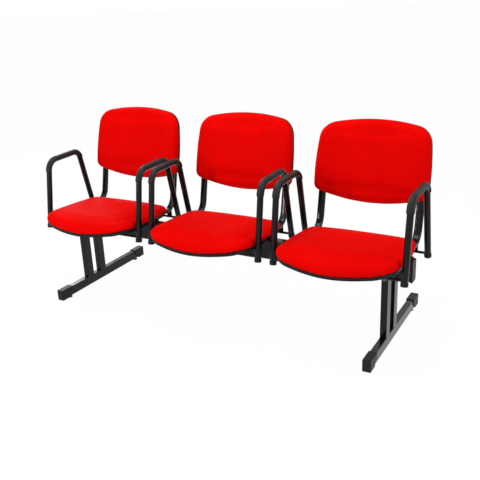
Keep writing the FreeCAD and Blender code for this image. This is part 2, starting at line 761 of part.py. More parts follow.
def make_panel_screws():
    """Screws of one place that hold seat and back boards to the tubes."""
    groups = ((seat_screw, SEAT_SCREW_DEPTHS, V(0, 0, -1), lay_seat),
              (back_screw, BACK_SCREW_HEIGHTS, V(0, 1, 0), lean_back))
    solids = []
    for side in (-1, 1):
        for screw, spots, outwards, settle in groups:
            for spot in spots:
                shank, seat = screw(side * TUBE_X, spot)
                head = hexagon(SCREW_FLATS, seat, outwards, SCREW_HEAD)
                solids.append(settle(shank.fuse(head).removeSplitter()))
    return solids


# Armrests, drawn about one place's centre line

def arm_points():
    return (ARM_FRONT_FOOT, ARM_FRONT_TOP, ARM_REAR_TOP, ARM_REAR_FOOT)


def arm_solid(x, radius=ARM_TUBE):
    return sweep(bent_path(arm_points(), ARM_BENDS, x), circle_wire(radius))


def along(foot, top, height):
    """Point on a leg of the arm at a height."""
    share = (height - foot[1]) / (top[1] - foot[1])
    return (foot[0] + share * (top[0] - foot[0]), height)


def make_arm_pad(x):
    start = along(ARM_FRONT_FOOT, ARM_FRONT_TOP, PAD_FRONT_HEIGHT)
    end = along(ARM_REAR_FOOT, ARM_REAR_TOP, PAD_REAR_HEIGHT)
    path = bent_path((start, ARM_FRONT_TOP, ARM_REAR_TOP, end), ARM_BENDS, x)
    skin = sweep(path, oval_wire(PAD_WIDE / 2, PAD_TALL / 2))
    return skin.cut(arm_solid(x))


def make_arm_caps():
    """Cups on the four lower tube ends of one place's arms."""
    solids = []
    for side in (-1, 1):
        for foot, top in ((ARM_FRONT_FOOT, ARM_FRONT_TOP), (ARM_REAR_FOOT, ARM_REAR_TOP)):
            low = V(side * ARM_X, foot[0], foot[1])
            way = V(0, top[0] - foot[0], top[1] - foot[1]).normalize()
            below = low.sub(V(way).multiply(ARM_CAP_FLOOR))
            cup = Part.makeCylinder(ARM_TUBE + ARM_CAP_SKIN, ARM_CAP_TALL, below, way)
            rim_edges = [edge for edge in cup.Edges if len(edge.Vertexes) == 1]
            cup = cup.makeChamfer(ARM_CAP_SKIN / 2, rim_edges)
            core = Part.makeCylinder(ARM_TUBE, ARM_CAP_TALL, low, way)
            solids.append(cup.cut(core))
    return solids


def make_arm_rods():
    """Front and rear tie rods under one seat, each with two tabs up to the seat tubes."""
    arms = [arm_solid(side * ARM_X) for side in (-1, 1)]
    tubes = [back_tube_solid(side * TUBE_X) for side in (-1, 1)]
    solids = []
    for y, z in (ROD_FRONT, ROD_REAR):
        whole = rod(V(-ARM_X, y, z), V(ARM_X, y, z), ROD_RADIUS)
        between = whole.cut(arms + make_arm_caps())
        solids.append(max(between.Solids, key=lambda solid: solid.Volume))
        for side in (-1, 1):
            x = side * TUBE_X
            tab = block(x - TAB_WIDE / 2, x + TAB_WIDE / 2, y - TAB_STEEL / 2, y + TAB_STEEL / 2,
                        z, z + TAB_WIDE * 1.6)
            tab = tab.cut([whole] + tubes)
            solids.append(min(tab.Solids, key=lambda solid: solid.CenterOfMass.z))
    return Part.makeCompound(solids)


# Assembly

def place_parts():
    """Every piece of one place, by name, about its own centre line."""
    return {
        "seat_cushion": make_seat_cushion(),
        "seat_board": make_seat_board(),
        "seat_cover": make_seat_cover(),
        "seat_plate": make_seat_plate(),
        "back_cushion": make_back_cushion(),
        "back_board": make_back_board(),
        "back_cover": make_back_cover(),
        "back_tube_left": make_back_tube(-TUBE_X),
        "back_tube_right": make_back_tube(TUBE_X),
        "arm_tube_left": arm_solid(-ARM_X),
        "arm_tube_right": arm_solid(ARM_X),
        "arm_pad_left": make_arm_pad(-ARM_X),
        "arm_pad_right": make_arm_pad(ARM_X),
        "arm_rods": make_arm_rods(),
    }


def small_parts():
    """Small pieces of one place, as lists of solids."""
    return {
        "arm_end_caps": make_arm_caps(),
        "tube_end_plugs": make_tube_plugs(),
        "panel_screws": make_panel_screws(),
        "plate_bolts": make_plate_bolts(),
    }


def moved(shape, x):
    copy = shape.copy()
    copy.translate(V(x, 0, 0))
    return copy


def build():
    nodes = {}
    one_place = place_parts()
    for name, centre in zip(PLACES, PLACE_CENTRES):
        for part, shape in one_place.items():
            nodes[name + "_" + part] = moved(shape, centre)
    for part, solids in small_parts().items():
        copies = [moved(solid, centre) for centre in PLACE_CENTRES for solid in solids]
        nodes[part] = Part.makeCompound(copies)
    nodes["beam"] = make_beam()
    nodes["beam_end_plugs"] = Part.makeCompound([make_plug(-1), make_plug(1)])
    for side, name in ((-1, "left"), (1, "right")):
        x = side * LEG_X
        nodes[name + "_foot"] = make_foot(x)
        nodes[name + "_posts"] = make_posts(x)
        caps = [make_foot_cap(x, end) for end in (FOOT_FRONT, FOOT_REAR)]
        nodes[name + "_foot_caps"] = Part.makeCompound(caps)
        for end, y in zip(("front", "rear"), glide_depths()):
            nodes[name + "_" + end + "_glide"] = make_glide(x, y)
    nodes["glide_nuts"] = make_glide_nuts()
    nodes["leg_bolts"] = make_leg_bolts()
    return nodes


def main():
    os.makedirs("parts", exist_ok=True)
    nodes = build()
    for name, shape in nodes.items():
        shape.translate(V(0, ROW_SHIFT, 0))
        shape.exportStep("parts/" + name + ".step")
    print("pieces", len(nodes))


main()
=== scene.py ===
"""Looks of a beam seating row: three red upholstered places on one black steel beam.

Shapes are drawn in millimetres about the middle of the beam. Depth grows away from the sitters and
height from the floor. Each mesh is made in the frame's metres.
"""
import json
import math

import bmesh
import bpy
from mathutils import Matrix, Vector, noise


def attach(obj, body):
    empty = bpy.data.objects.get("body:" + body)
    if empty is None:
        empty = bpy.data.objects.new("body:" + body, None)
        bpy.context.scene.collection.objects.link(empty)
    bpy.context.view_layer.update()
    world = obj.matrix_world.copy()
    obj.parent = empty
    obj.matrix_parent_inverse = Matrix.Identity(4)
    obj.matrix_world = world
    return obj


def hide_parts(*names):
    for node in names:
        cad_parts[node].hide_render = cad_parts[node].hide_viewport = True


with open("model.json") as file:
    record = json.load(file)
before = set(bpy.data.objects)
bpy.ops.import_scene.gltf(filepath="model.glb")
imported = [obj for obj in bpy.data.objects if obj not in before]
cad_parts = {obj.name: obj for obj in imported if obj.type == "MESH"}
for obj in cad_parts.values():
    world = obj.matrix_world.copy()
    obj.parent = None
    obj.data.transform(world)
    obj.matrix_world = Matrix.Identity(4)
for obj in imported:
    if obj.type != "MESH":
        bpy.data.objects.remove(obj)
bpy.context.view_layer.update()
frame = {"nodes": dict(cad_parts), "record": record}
SLOTS = {entry["node"]: entry["material_slot"] for entry in frame["record"]["subparts"]}

MM = 0.001
ROW_SHIFT = -49.35
BODY = "row"

# Places along the row
PLACES = ("left", "middle", "right")
PITCH = 550.0
PLACE_CENTRES = (-PITCH, 0.0, PITCH)
SIDES = (("left", -1), ("right", 1))

# Camera, as the photograph was taken
CAMERA_PLACE = (1365.78, -2250.43, 1291.72)
CAMERA_AZIMUTH = 30.989
CAMERA_DOWN = 19.882
CAMERA_ROLL = -3.028
FOCAL_PIXELS = 690.2
PICTURE_PIXELS = 480
CENTRE_PIXEL = (224.197, 232.614)
SENSOR = 36.0

# Floor and light. Each lamp has a place, a point that it faces, a size and a power.
FLOOR_REACH = 30.0
FLOOR_WHITE = 0.97
WORLD_LIGHT = 0.5
LAMPS = (("overhead_lamp", (0.0, -0.3, 3.1), (0.0, 0.0, 0.4), (2.2, 1.6), 48.0),
         ("high_front_lamp", (-1.6, -2.6, 3.2), (0.0, 0.0, 0.4), (1.2, 1.2), 10.0),
         ("front_strip_lamp", (-1.2, -2.7, 1.25), (0.0, 0.0, 1.25), (0.14, 1.4), 27.0),
         ("side_lamp", (3.2, -0.2, 1.8), (0.3, 0.0, 0.3), (0.9, 1.6), 26.0),
         ("left_rear_lamp", (-2.5, 1.9, 1.7), (-0.6, 0.0, 0.4), (0.9, 0.9), 26.0))

# An outline is the right half of a closed curve: arcs of (radius, heading at the end in degrees).
# A side is a column of (height, inset from the outline), and a dome is its height in the middle.
OUTLINE_STEP = 6.0
DOME_STEPS = 14
DOME_POWER = 3.0
DISH_SHARE = 0.62

# Seat. Heights above the rim plane, where red meets black, are called lift. Its front rolls down.
SEAT_RAKE = 2.3
RIM_HEIGHT = 357.5
SEAT_FRONT = -256.9
SEAT_ROLL_FROM = -188.0
SEAT_ROLL = 111.0
SEAT_ARCS = ((544.0, 16.8), (95.5, 88.0), (1527.0, 96.8), (42.5, 172.0))
SEAT_SIDE = ((0.6, 16.0), (0.4, 8.0), (0.6, 4.2), (2.5, 2.0), (5.5, 0.7), (9.5, 0.0),
             (14.0, 0.6), (18.5, 2.6), (22.5, 6.2), (25.8, 11.0), (28.2, 17.0))
SEAT_DOME = 38.0
SEAT_DISH = 4.6

# Back. Its own frame leans about a point on the front of the board.
BACK_LEAN = 12.0
BACK_DEPTH = 203.8
BACK_HEIGHT = 500.0
BACK_BOW = 1200.0
BACK_FOOT = -30.6
BACK_ARCS = ((684.0, 17.2), (32.0, 88.0), (1165.0, 96.9), (72.5, 168.0))
BACK_SIDE = ((-11.6, 18.0), (-11.8, 8.0), (-11.4, 3.0), (-9.5, 1.2), (-6.0, 0.5), (-1.0, 1.0),
             (4.5, 3.0), (10.5, 6.4), (16.5, 11.0), (22.0, 17.0), (26.5, 25.0))
BACK_DOME = 36.0
COVER_SIDE = ((11.9, 20.0), (11.9, 6.0), (12.0, 2.4), (12.6, 0.9), (14.0, 0.15), (16.5, 0.0),
              (20.0, 1.2), (25.0, 4.6), (30.0, 10.0), (33.6, 16.5), (35.6, 24.0))
COVER_DOME = 38.6

# Cloth. It is held up to SEAT_TUCK above the rim plane, and from BACK_TUCK behind the board's
# front. Domes are drawn lower by a share of the greatest swell.
VOXEL = 5.0
SWELL = 6.0
DRAWN_LOWER = 0.5
CLOTH_FRAMES = 20
CLOTH_PRESSURE = 4.0
FOAM_ROUNDS = 14
SEAT_TUCK = 11.0
BACK_TUCK = 1.0

# Unevenness of single cushions: (waves per metre, height in metres), then puckers at corners.
# A corner is (x, depth or height, reach of its puckers).
WAVES = ((9.0, 0.0008), (24.0, 0.00015))
PUCKER_WAVES = (95, 95, 18)
PUCKER_HEIGHT = 0.0011
PUCKER_FADE = 1.5
SEED_STEPS = (3.7, 1.3, 5.1)
SEAT_SEED = 1
SEAT_CORNERS = ((-205, -215, 80), (205, -215, 80), (-205, 110, 60), (205, 110, 60))
BACK_SEED = 5
BACK_CORNERS = ((-205, -10, 55), (205, -10, 55), (-185, 262, 70), (185, 262, 70))
BACK_CORNER_DEPTH = -16

# Armrests: a path of (depth, height) with its two bend radii, and the pad on its upper part
ARM_X = 243.5
ARM_TUBE = 12.0
ARM_PATH = ((-150.0, 311.0), (-105.6, 598.0), (84.0, 602.0), (151.0, 307.0))
ARM_BENDS = (50.0, 42.0)
PAD_WIDE = 29.5
PAD_TALL = 28.0
PAD_ROOM = 0.15
PAD_HEIGHTS = (552.0, 570.0)
PAD_REACH = 93.0
PAD_INNER_SHARE = 0.96
PAD_LIP = (0.2, 0.9)
PAD_EASE = 0.03
PAD_TAPER = 0.13
END_CUP = ((8.0, -3.0), (11.5, -3.0), (12.9, -2.6), (13.5, -1.6), (13.5, 11.0), (13.2, 11.8),
           (12.3, 12.0), (8.0, 12.0))

# Flat-oval tubes that carry seat and back
TUBE_X = 195.0
TUBE_WIDE = 30.0
TUBE_THICK = 15.0
TUBE_LIFT = -1.5
TUBE_FRONT = -166.0
TUBE_KNEE = 175.2
TUBE_BEND = 62.0
TUBE_TOP = 700.0
TUBE_ROOM = 1.0

# Fasteners. A hexagon is (width over its flats, height), with its corners turned off.
BEAM_MIDDLE = 305.5
LEG_X = 700.0
LEG_BOLT_RISE = 20.0
POST_FACE = 63.0
PLATE_BOLT_XS = (-220.0, -90.0, 90.0, 220.0)
SPOT_FACE = 8.0
PLATE_BOLT_HEAD = (13.0, 5.3)
LEG_BOLT_HEAD = (17.0, 6.5)
LEG_BOLT_NUT = (17.0, 8.0)
LEG_BOLT_END = ((4.0, 0.0), (5.0, 0.0), (5.0, 9.2), (4.4, 9.9), (2.0, 10.0))
HEX_DIAL = 0.95
HEX_CHAMFER = 30.0

# Levelling feet, as (radius, height) from the floor up
GLIDE_DEPTHS = (("front", -185.0), ("rear", 298.0))
GLIDE_PROFILE = ((6.0, 0.0), (11.0, 0.0), (11.8, 0.5), (12.0, 1.2), (12.0, 2.6), (11.6, 3.2),
                 (10.2, 4.2), (9.0, 6.6), (8.7, 8.6), (8.0, 9.0), (4.2, 9.0), (4.0, 9.2),
                 (4.0, 37.2), (3.4, 38.0), (1.5, 38.0))

# CAD pieces that keep their shape, with the width of their broken edges
BROKEN_EDGES = {"seat_cover": 0.4, "seat_plate": 0.5, "arm_rods": 0.6, "foot": 0.0, "posts": 0.0,
                "foot_caps": 0.0, "beam": 0.0, "beam_end_plugs": 0.0, "tube_end_plugs": 0.0}


def to_frame(x, y, z):
    return Vector((x, y + ROW_SHIFT, z)) * MM


def lean(x, depth, height):
    """From the back's own frame to the row."""
    angle = math.radians(BACK_LEAN)
    y = BACK_DEPTH + depth * math.cos(angle) + height * math.sin(angle)
    z = BACK_HEIGHT - depth * math.sin(angle) + height * math.cos(angle)
    return x, y, z


def lay(x, depth, lift):
    """From the seat's level frame to the row."""
    angle = math.radians(SEAT_RAKE)
    y = depth * math.cos(angle) + lift * math.sin(angle)
    z = RIM_HEIGHT - depth * math.sin(angle) + lift * math.cos(angle)
    return x, y, z


def rim_height(depth):
    return RIM_HEIGHT - depth * math.tan(math.radians(SEAT_RAKE))


def roll_fall(depth):
    """How far the seat has rolled down at a depth."""
    run = max(0.0, SEAT_ROLL_FROM - depth)
    return SEAT_ROLL - math.sqrt(max(0.0, SEAT_ROLL ** 2 - run ** 2))


# Node trees, for finishes and for shapes

class Shade:
    """A socket that takes part in Python sums. Each operation adds its Math node."""

    def __init__(self, graph, socket):
        self.graph = graph
        self.socket = socket

    def _math(self, operation, *values):
        return self.graph.add("ShaderNodeMath", {"operation": operation}, dict(enumerate(values)))

    def __add__(self, other):
        return self._math("ADD", self, other)

    def __radd__(self, other):
        return self._math("ADD", other, self)

    def __rsub__(self, other):
        return self._math("SUBTRACT", other, self)

    def __mul__(self, other):
        return self._math("MULTIPLY", self, other)

    def __truediv__(self, other):
        return self._math("DIVIDE", self, other)

    def __pow__(self, other):
        return self._math("POWER", self, other)

    def sine(self):
        return self._math("SINE", self)

    def least(self, other):
        return self._math("MINIMUM", self, other)

    def most(self, other):
        return self._math("MAXIMUM", self, other)

    def step(self, low, high):
        """0 below low, 1 above high, smooth between."""
        settings = {"interpolation_type": "SMOOTHSTEP", "clamp": True}
        values = {"Value": self, "From Min": low, "From Max": high, "To Min": 0.0, "To Max": 1.0}
        return self.graph.add("ShaderNodeMapRange", settings, values, "Result")


class Graph:
    """A node tree under construction."""

    def __init__(self, tree):
        self.tree = tree

    def add(self, kind, settings=None, values=None, output=0):
        node = self.tree.nodes.new(kind)
        for name, value in (settings or {}).items():
            setattr(node, name, value)
        for key, value in (values or {}).items():
            self.put(node.inputs[key], value)
        return Shade(self, node.outputs[output])

    def put(self, socket, value):
        if isinstance(value, Shade):
            self.tree.links.new(value.socket, socket)
        else:
            socket.default_value = value


class Finish(Graph):
    """One material under construction."""

    def __init__(self, name):
        self.material = bpy.data.materials.new(name)
        self.material.use_nodes = True
        super().__init__(self.material.node_tree)
        self.shader = self.tree.nodes["Principled BSDF"]

    def shade(self, **values):
        """Sets sockets of the shader by name, with underscores for spaces."""
        for name, value in values.items():
            self.put(self.shader.inputs[name.replace("_", " ")], value)
        return self.material

    def place(self):
        return self.add("ShaderNodeTexCoord", output="Object")

    def axes(self, vector):
        node = self.tree.nodes.new("ShaderNodeSeparateXYZ")
        self.put(node.inputs[0], vector)
        return [Shade(self, output) for output in node.outputs]

    def noise(self, scale, detail, vector=None):
        values = {"Vector": vector or self.place(), "Scale": scale, "Detail": detail}
        return self.add("ShaderNodeTexNoise", None, values, "Fac")

    def cells(self, scale, feature):
        values = {"Vector": self.place(), "Scale": scale}
        return self.add("ShaderNodeTexVoronoi", {"feature": feature}, values, "Distance")

    def mix(self, factor, first, second):
        settings = {"data_type": "RGBA", "clamp_factor": True}
        return self.add("ShaderNodeMix", settings, {0: factor, 6: first, 7: second}, 2)

    def bump(self, height, distance, strength):
        values = {"Height": height, "Distance": distance, "Strength": strength}
        return self.add("ShaderNodeBump", None, values)


class Maker(Graph):
    """One Geometry Nodes tree with named inputs. It ends in Realize Instances and Set Material."""

    def __init__(self, name):
        super().__init__(bpy.data.node_groups.new(name, "GeometryNodeTree"))
        for way in ("INPUT", "OUTPUT"):
            self.tree.interface.new_socket("Geometry", in_out=way,
                                           socket_type="NodeSocketGeometry")
        self.way_in = self.tree.nodes.new("NodeGroupInput")
        self.seed = Shade(self, self.way_in.outputs[0])

    def ask(self, name, kind, default=None):
        """A named input of the tree."""
        socket = self.tree.interface.new_socket(name, in_out="INPUT",
                                                socket_type="NodeSocket" + kind)
        if default is not None:
            socket.default_value = default
        return Shade(self, self.way_in.outputs[name])

    def end(self, geometry):
        material = self.ask("Material", "Material")
        whole = self.add("GeometryNodeRealizeInstances", None, {0: geometry})
        values = {"Geometry": whole, "Material": material}
        dressed = self.add("GeometryNodeSetMaterial", None, values)
        way_out = self.tree.nodes.new("NodeGroupOutput")
        self.put(way_out.inputs[0], dressed)
        return self.tree


# Camera, floor and light

def colour(r, g, b):
    return (r, g, b, 1.0)


def make_camera():
    data = bpy.data.cameras.new("camera")
    data.sensor_width = SENSOR
    data.lens = FOCAL_PIXELS * SENSOR / PICTURE_PIXELS
    data.shift_x = (PICTURE_PIXELS / 2 - CENTRE_PIXEL[0]) / PICTURE_PIXELS
    data.shift_y = (CENTRE_PIXEL[1] - PICTURE_PIXELS / 2) / PICTURE_PIXELS
    data.clip_end = 2 * FLOOR_REACH
    camera = bpy.data.objects.new("camera", data)
    bpy.context.collection.objects.link(camera)
    turn = math.radians(CAMERA_AZIMUTH)
    down = math.radians(CAMERA_DOWN)
    roll = math.radians(CAMERA_ROLL)
    level = math.cos(down)
    forward = Vector((-math.sin(turn) * level, math.cos(turn) * level, -math.sin(down)))
    right = Vector((math.cos(turn), math.sin(turn), 0))
    up = right.cross(forward)
    rolled_right = right * math.cos(roll) + up * math.sin(roll)
    rolled_up = up * math.cos(roll) - right * math.sin(roll)
    axes = Matrix((rolled_right, rolled_up, -forward)).transposed().to_4x4()
    camera.matrix_world = Matrix.Translation(to_frame(*CAMERA_PLACE)) @ axes
    bpy.context.scene.camera = camera


def make_floor():
    """White floor that keeps the shadow of the row."""
    data = bpy.data.meshes.new("floor")
    square = ((-1, -1), (1, -1), (1, 1), (-1, 1))
    corners = [(x * FLOOR_REACH, y * FLOOR_REACH, 0) for x, y in square]
    data.from_pydata(corners, [], [(0, 1, 2, 3)])
    floor = bpy.data.objects.new("floor", data)
    bpy.context.collection.objects.link(floor)
    finish = Finish("white_floor")
    path = finish.tree.nodes.new("ShaderNodeLightPath")
    camera_ray, glossy_ray, through_ray = [
        Shade(finish, path.outputs[name])
        for name in ("Is Camera Ray", "Is Glossy Ray", "Is Transmission Ray")]
    white = finish.add("ShaderNodeEmission", None, {"Color": colour(1, 1, 1), "Strength": 1.0})
    finish.shade(Base_Color=colour(0.9, 0.9, 0.9), Roughness=0.9, Specular_IOR_Level=0.0)
    share = camera_ray.most(glossy_ray).most(through_ray) * FLOOR_WHITE
    lit = Shade(finish, finish.shader.outputs[0])
    blend = finish.add("ShaderNodeMixShader", None, {0: share, 1: lit, 2: white})
    finish.put(finish.tree.nodes["Material Output"].inputs["Surface"], blend)
    data.materials.append(finish.material)


def make_world():
    """Pure white where it is seen or mirrored, and a softer light elsewhere."""
    world = bpy.data.worlds.new("studio")
    world.use_nodes = True
    bpy.context.scene.world = world
    graph = Graph(world.node_tree)
    path = graph.tree.nodes.new("ShaderNodeLightPath")
    camera_ray, glossy_ray = [Shade(graph, path.outputs[name])
                              for name in ("Is Camera Ray", "Is Glossy Ray")]
    seen = camera_ray.most(glossy_ray)
    values = {"Color": colour(1, 1, 1), "Strength": WORLD_LIGHT}
    light = graph.add("ShaderNodeBackground", None, values)
    values = {"Color": colour(1, 1, 1), "Strength": 1.0}
    white = graph.add("ShaderNodeBackground", None, values)
    blend = graph.add("ShaderNodeMixShader", None, {0: seen, 1: light, 2: white})
    graph.put(graph.tree.nodes["World Output"].inputs["Surface"], blend)


def make_lamp(name, place, target, size, power):
    data = bpy.data.lights.new(name, "AREA")
    data.shape = "RECTANGLE"
    data.size, data.size_y = size
    data.energy = power
    lamp = bpy.data.objects.new(name, data)
    bpy.context.collection.objects.link(lamp)
    lamp.location = place
    lamp.rotation_euler = (Vector(target) - Vector(place)).to_track_quat("-Z", "Y").to_euler()


# Materials

def red_cloth():
    """Plain-woven red cloth: a fine weave, a little colour drift and a faint sheen."""
    finish = Finish("red_woven_cloth")
    x, y, z = finish.axes(finish.place())
    thread_pitch = 0.0011
    thread = 2 * math.pi / thread_pitch
    weave = (x * thread).sine() * ((y + z) * thread).sine()
    fuzz = finish.noise(1400.0, detail=3.0)
    drift = finish.noise(7.0, detail=2.0)
    deep, full = colour(0.70, 0.0014, 0.0006), colour(0.80, 0.0020, 0.0009)
    base = finish.mix(drift.step(0.35, 0.7), deep, full)
    threads = (weave * 0.25 + fuzz * 0.5).step(0.05, 0.5)
    tint = finish.mix(threads, colour(0.60, 0.0008, 0.0004), base)
    bump = finish.bump(weave * 0.5 + fuzz, distance=0.00025, strength=0.3)
    return finish.shade(Base_Color=tint, Roughness=0.6, Normal=bump, Sheen_Weight=0.006,
                        Sheen_Roughness=0.4, Sheen_Tint=colour(1.0, 0.3, 0.25),
                        Specular_IOR_Level=0.009)


def black_powder_coat():
    """Black powder coat on steel: half gloss with a faint orange peel."""
    finish = Finish("black_powder_coat")
    peel = finish.noise(420.0, detail=2.0)
    patches = finish.noise(16.0, detail=3.0)
    dark, light = colour(0.003, 0.003, 0.0034), colour(0.005, 0.005, 0.0054)
    tint = finish.mix(patches.step(0.3, 0.7), dark, light)
    rough = 0.09 + patches * 0.08
    bump = finish.bump(peel, distance=0.00003, strength=0.12)
    return finish.shade(Base_Color=tint, Roughness=rough, Normal=bump, Specular_IOR_Level=0.2)


def black_moulded_plastic():
    """Injection-moulded plastic with a fine spark-eroded grain."""
    finish = Finish("black_moulded_plastic")
    grain = finish.cells(900.0, "SMOOTH_F1")
    patches = finish.noise(12.0, detail=2.0)
    dark, light = colour(0.007, 0.007, 0.008), colour(0.012, 0.012, 0.013)
    tint = finish.mix(patches.step(0.3, 0.7), dark, light)
    rough = 0.38 + patches * 0.12
    bump = finish.bump(grain, distance=0.0002, strength=0.35)
    return finish.shade(Base_Color=tint, Roughness=rough, Normal=bump, Specular_IOR_Level=0.15)


def soft_black_skin():
    """Self-skinned arm pad: dull black with a leathery grain."""
    finish = Finish("soft_black_skin")
    grain = finish.cells(520.0, "DISTANCE_TO_EDGE")
    fine = finish.noise(1500.0, detail=2.0)
    rub = finish.noise(20.0, detail=3.0)
    bump = finish.bump(grain.step(0.0, 0.25) + fine * 0.3, distance=0.0002, strength=0.4)
    dark, light = colour(0.007, 0.0072, 0.008), colour(0.012, 0.0122, 0.013)
    tint = finish.mix(rub.step(0.35, 0.75), dark, light)
    rough = 0.40 + rub * 0.15
    return finish.shade(Base_Color=tint, Roughness=rough, Normal=bump, Specular_IOR_Level=0.2)


def zinc_steel():
    """Dark passivated zinc, cloudy and unevenly dull."""
    finish = Finish("zinc_plated_steel")
    cloud = finish.noise(90.0, detail=4.0)
    tint = finish.mix(cloud, colour(0.055, 0.056, 0.060), colour(0.13, 0.13, 0.125))
    return finish.shade(Base_Color=tint, Metallic=1.0, Roughness=0.30 + cloud * 0.2)


def bare_plywood():
    """Pale veneer with its grain stretched along the row."""
    finish = Finish("bare_plywood")
    x, y, z = finish.axes(finish.place())
    values = {0: x * 2.0, 1: y * 40.0, 2: z * 40.0}
    stretched = finish.add("ShaderNodeCombineXYZ", None, values)
    grain = finish.noise(3.0, detail=5.0, vector=stretched)
    tint = finish.mix(grain.step(0.3, 0.7), colour(0.42, 0.27, 0.14), colour(0.62, 0.45, 0.27))
    bump = finish.bump(grain, distance=0.0002, strength=0.3)
    return finish.shade(Base_Color=tint, Roughness=0.7, Normal=bump)


def hard_glide_plastic():
    """Scuffed black plastic of the levelling feet."""
    finish = Finish("hard_glide_plastic")
    scuff = finish.noise(160.0, detail=4.0)
    dark, light = colour(0.010, 0.010, 0.011), colour(0.04, 0.04, 0.04)
    tint = finish.mix(scuff.step(0.45, 0.8), dark, light)
    rough = 0.35 + scuff * 0.3
    bump = finish.bump(scuff, distance=0.0002, strength=0.3)
    return finish.shade(Base_Color=tint, Roughness=rough, Normal=bump)


# Meshes

def new_piece(name, mesh):
    piece = bpy.data.objects.new(name, mesh)
    bpy.context.collection.objects.link(piece)
    return piece


def baked(piece):
    """The piece with its modifiers applied, as a plain mesh."""
    bpy.context.view_layer.update()
    ready = piece.evaluated_get(bpy.context.evaluated_depsgraph_get())
    mesh = bpy.data.meshes.new_from_object(ready)
    mesh.name = piece.name
    piece.modifiers.clear()
    piece.data = mesh
    return piece


def smooth(mesh, sharp):
    """Shades a mesh smooth, apart from edges that turn by more than so many degrees."""
    mesh.shade_smooth()
    mesh.set_sharp_from_angle(angle=math.radians(sharp))


def dress(piece, slot, nodes, body=BODY):
    """Gives a finished piece its material, its body and the CAD pieces that it stands for."""
    if not piece.data.materials:
        piece.data.materials.append(MATERIALS[slot])
    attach(piece, body)
    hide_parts(*nodes)


def moved_copy(name, mesh, x):
    """A copy of one place's mesh, moved along the row."""
    copy = mesh.copy()
    copy.transform(Matrix.Translation((x * MM, 0, 0)))
    return new_piece(name, copy)


def refined(node, width):
    """A CAD piece with its corners merged, its rounds shaded smooth and its edges broken."""
    same_corner = 2e-6
    flat = math.radians(0.4)
    mesh = frame["nodes"][node].data.copy()
    work = bmesh.new()
    work.from_mesh(mesh)
    bmesh.ops.remove_doubles(work, verts=work.verts, dist=same_corner)
    bmesh.ops.dissolve_limit(work, angle_limit=flat, verts=work.verts, edges=work.edges)
    work.to_mesh(mesh)
    work.free()
    mesh.materials.clear()
    piece = new_piece(node + "_finished", mesh)
    if width:
        bevel = piece.modifiers.new("broken_edges", "BEVEL")
        bevel.width = width * MM
        bevel.segments = 2
        bevel.limit_method = "ANGLE"
        bevel.angle_limit = math.radians(40)
        bevel.use_clamp_overlap = True
    smooth(mesh, 35.0)
    weights = piece.modifiers.new("flat_faces", "WEIGHTED_NORMAL")
    weights.keep_sharp = True
    return baked(piece)


def arc_chain(arcs):
    """Right half of an outline as arcs: centre x, centre y, radius, first and last heading."""
    chain = []
    x, y, heading = 0.0, 0.0, 0.0
    for radius, last in arcs:
        a, b = math.radians(heading), math.radians(last)
        chain.append((x - radius * math.sin(a), y + radius * math.cos(a), radius, heading, last))
        x += radius * (math.sin(b) - math.sin(a))
        y += radius * (math.cos(a) - math.cos(b))
        heading = last
    a = math.radians(heading)
    radius = x / math.sin(a)
    chain.append((x - radius * math.sin(a), y + radius * math.cos(a), radius, heading, 180.0))
    return chain


def outline(arcs):
    """Points round an outline as (x, y, outward x, outward y), right half then left half."""
    right = []
    for x, y, radius, first, last in arc_chain(arcs):
        count = max(3, round(radius * math.radians(last - first) / OUTLINE_STEP))
        for index in range(count):
            angle = math.radians(first + (last - first) * index / count)
            out = (math.sin(angle), -math.cos(angle))
            right.append((x + radius * out[0], y + radius * out[1], *out))
    right.append((0.0, y + radius, 0.0, 1.0))
    left = [(-x, y, -out_x, out_y) for x, y, out_x, out_y in reversed(right[1:-1])]
    return right + left


def ring(points, inset, scale=1.0):
    """The outline moved inwards, then scaled about its middle."""
    middle = (min(p[1] for p in points) + max(p[1] for p in points)) / 2
    spots = []
    for x, y, out_x, out_y in points:
        px, py = x - inset * out_x, y - inset * out_y
        spots.append((px * scale, middle + (py - middle) * scale))
    return spots


def ring_mesh(name, rings):
    """Closed mesh through rings of points, each end drawn to one middle point."""
    work = bmesh.new()
    loops = [[work.verts.new(spot) for spot in spots] for spots in rings]
    count = len(loops[0])
    for low, high in zip(loops, loops[1:]):
        for index in range(count):
            after = (index + 1) % count
            work.faces.new((low[index], low[after], high[after], high[index]))
    for loop, flip in ((loops[0], True), (loops[-1], False)):
        middle = work.verts.new(sum((vert.co for vert in loop), Vector()) / count)
        for index in range(count):
            trio = (loop[index], loop[(index + 1) % count], middle)
            work.faces.new(tuple(reversed(trio)) if flip else trio)
    bmesh.ops.recalc_face_normals(work, faces=work.faces)
    mesh = bpy.data.meshes.new(name)
    work.to_mesh(mesh)
    work.free()
    return mesh


def pad_rings(points, side, dome, dish, place):
    """Rings of a padded form: up its side, then over a dome that may be dished in the middle."""
    rings = [[place(x, y, height) for x, y in ring(points, inset)] for height, inset in side]
    low, inset = side[-1]
    for index in range(1, DOME_STEPS):
        scale = 1 - index / DOME_STEPS
        crown = 1 - scale ** DOME_POWER
        hollow = dish * (1 - (scale / DISH_SHARE) ** 2) ** 2 if scale < DISH_SHARE else 0.0
        height = low + (dome - low) * crown - hollow
        rings.append([place(x, y, height) for x, y in ring(points, inset, scale)])
    return rings


def circle(radii, heights):
    """One ring about Z, evenly stepped, from a radius and a height for each of its points."""
    spots = []
    for index, (radius, height) in enumerate(zip(radii, heights)):
        turn = 2 * math.pi * index / len(radii)
        spots.append(Vector((radius * math.cos(turn), radius * math.sin(turn), height)) * MM)
    return spots


def lathe(profile, steps=32):
    """Rings of a turned form about Z, from (radius, height) pairs."""
    return [circle([radius] * steps, [height] * steps) for radius, height in profile]


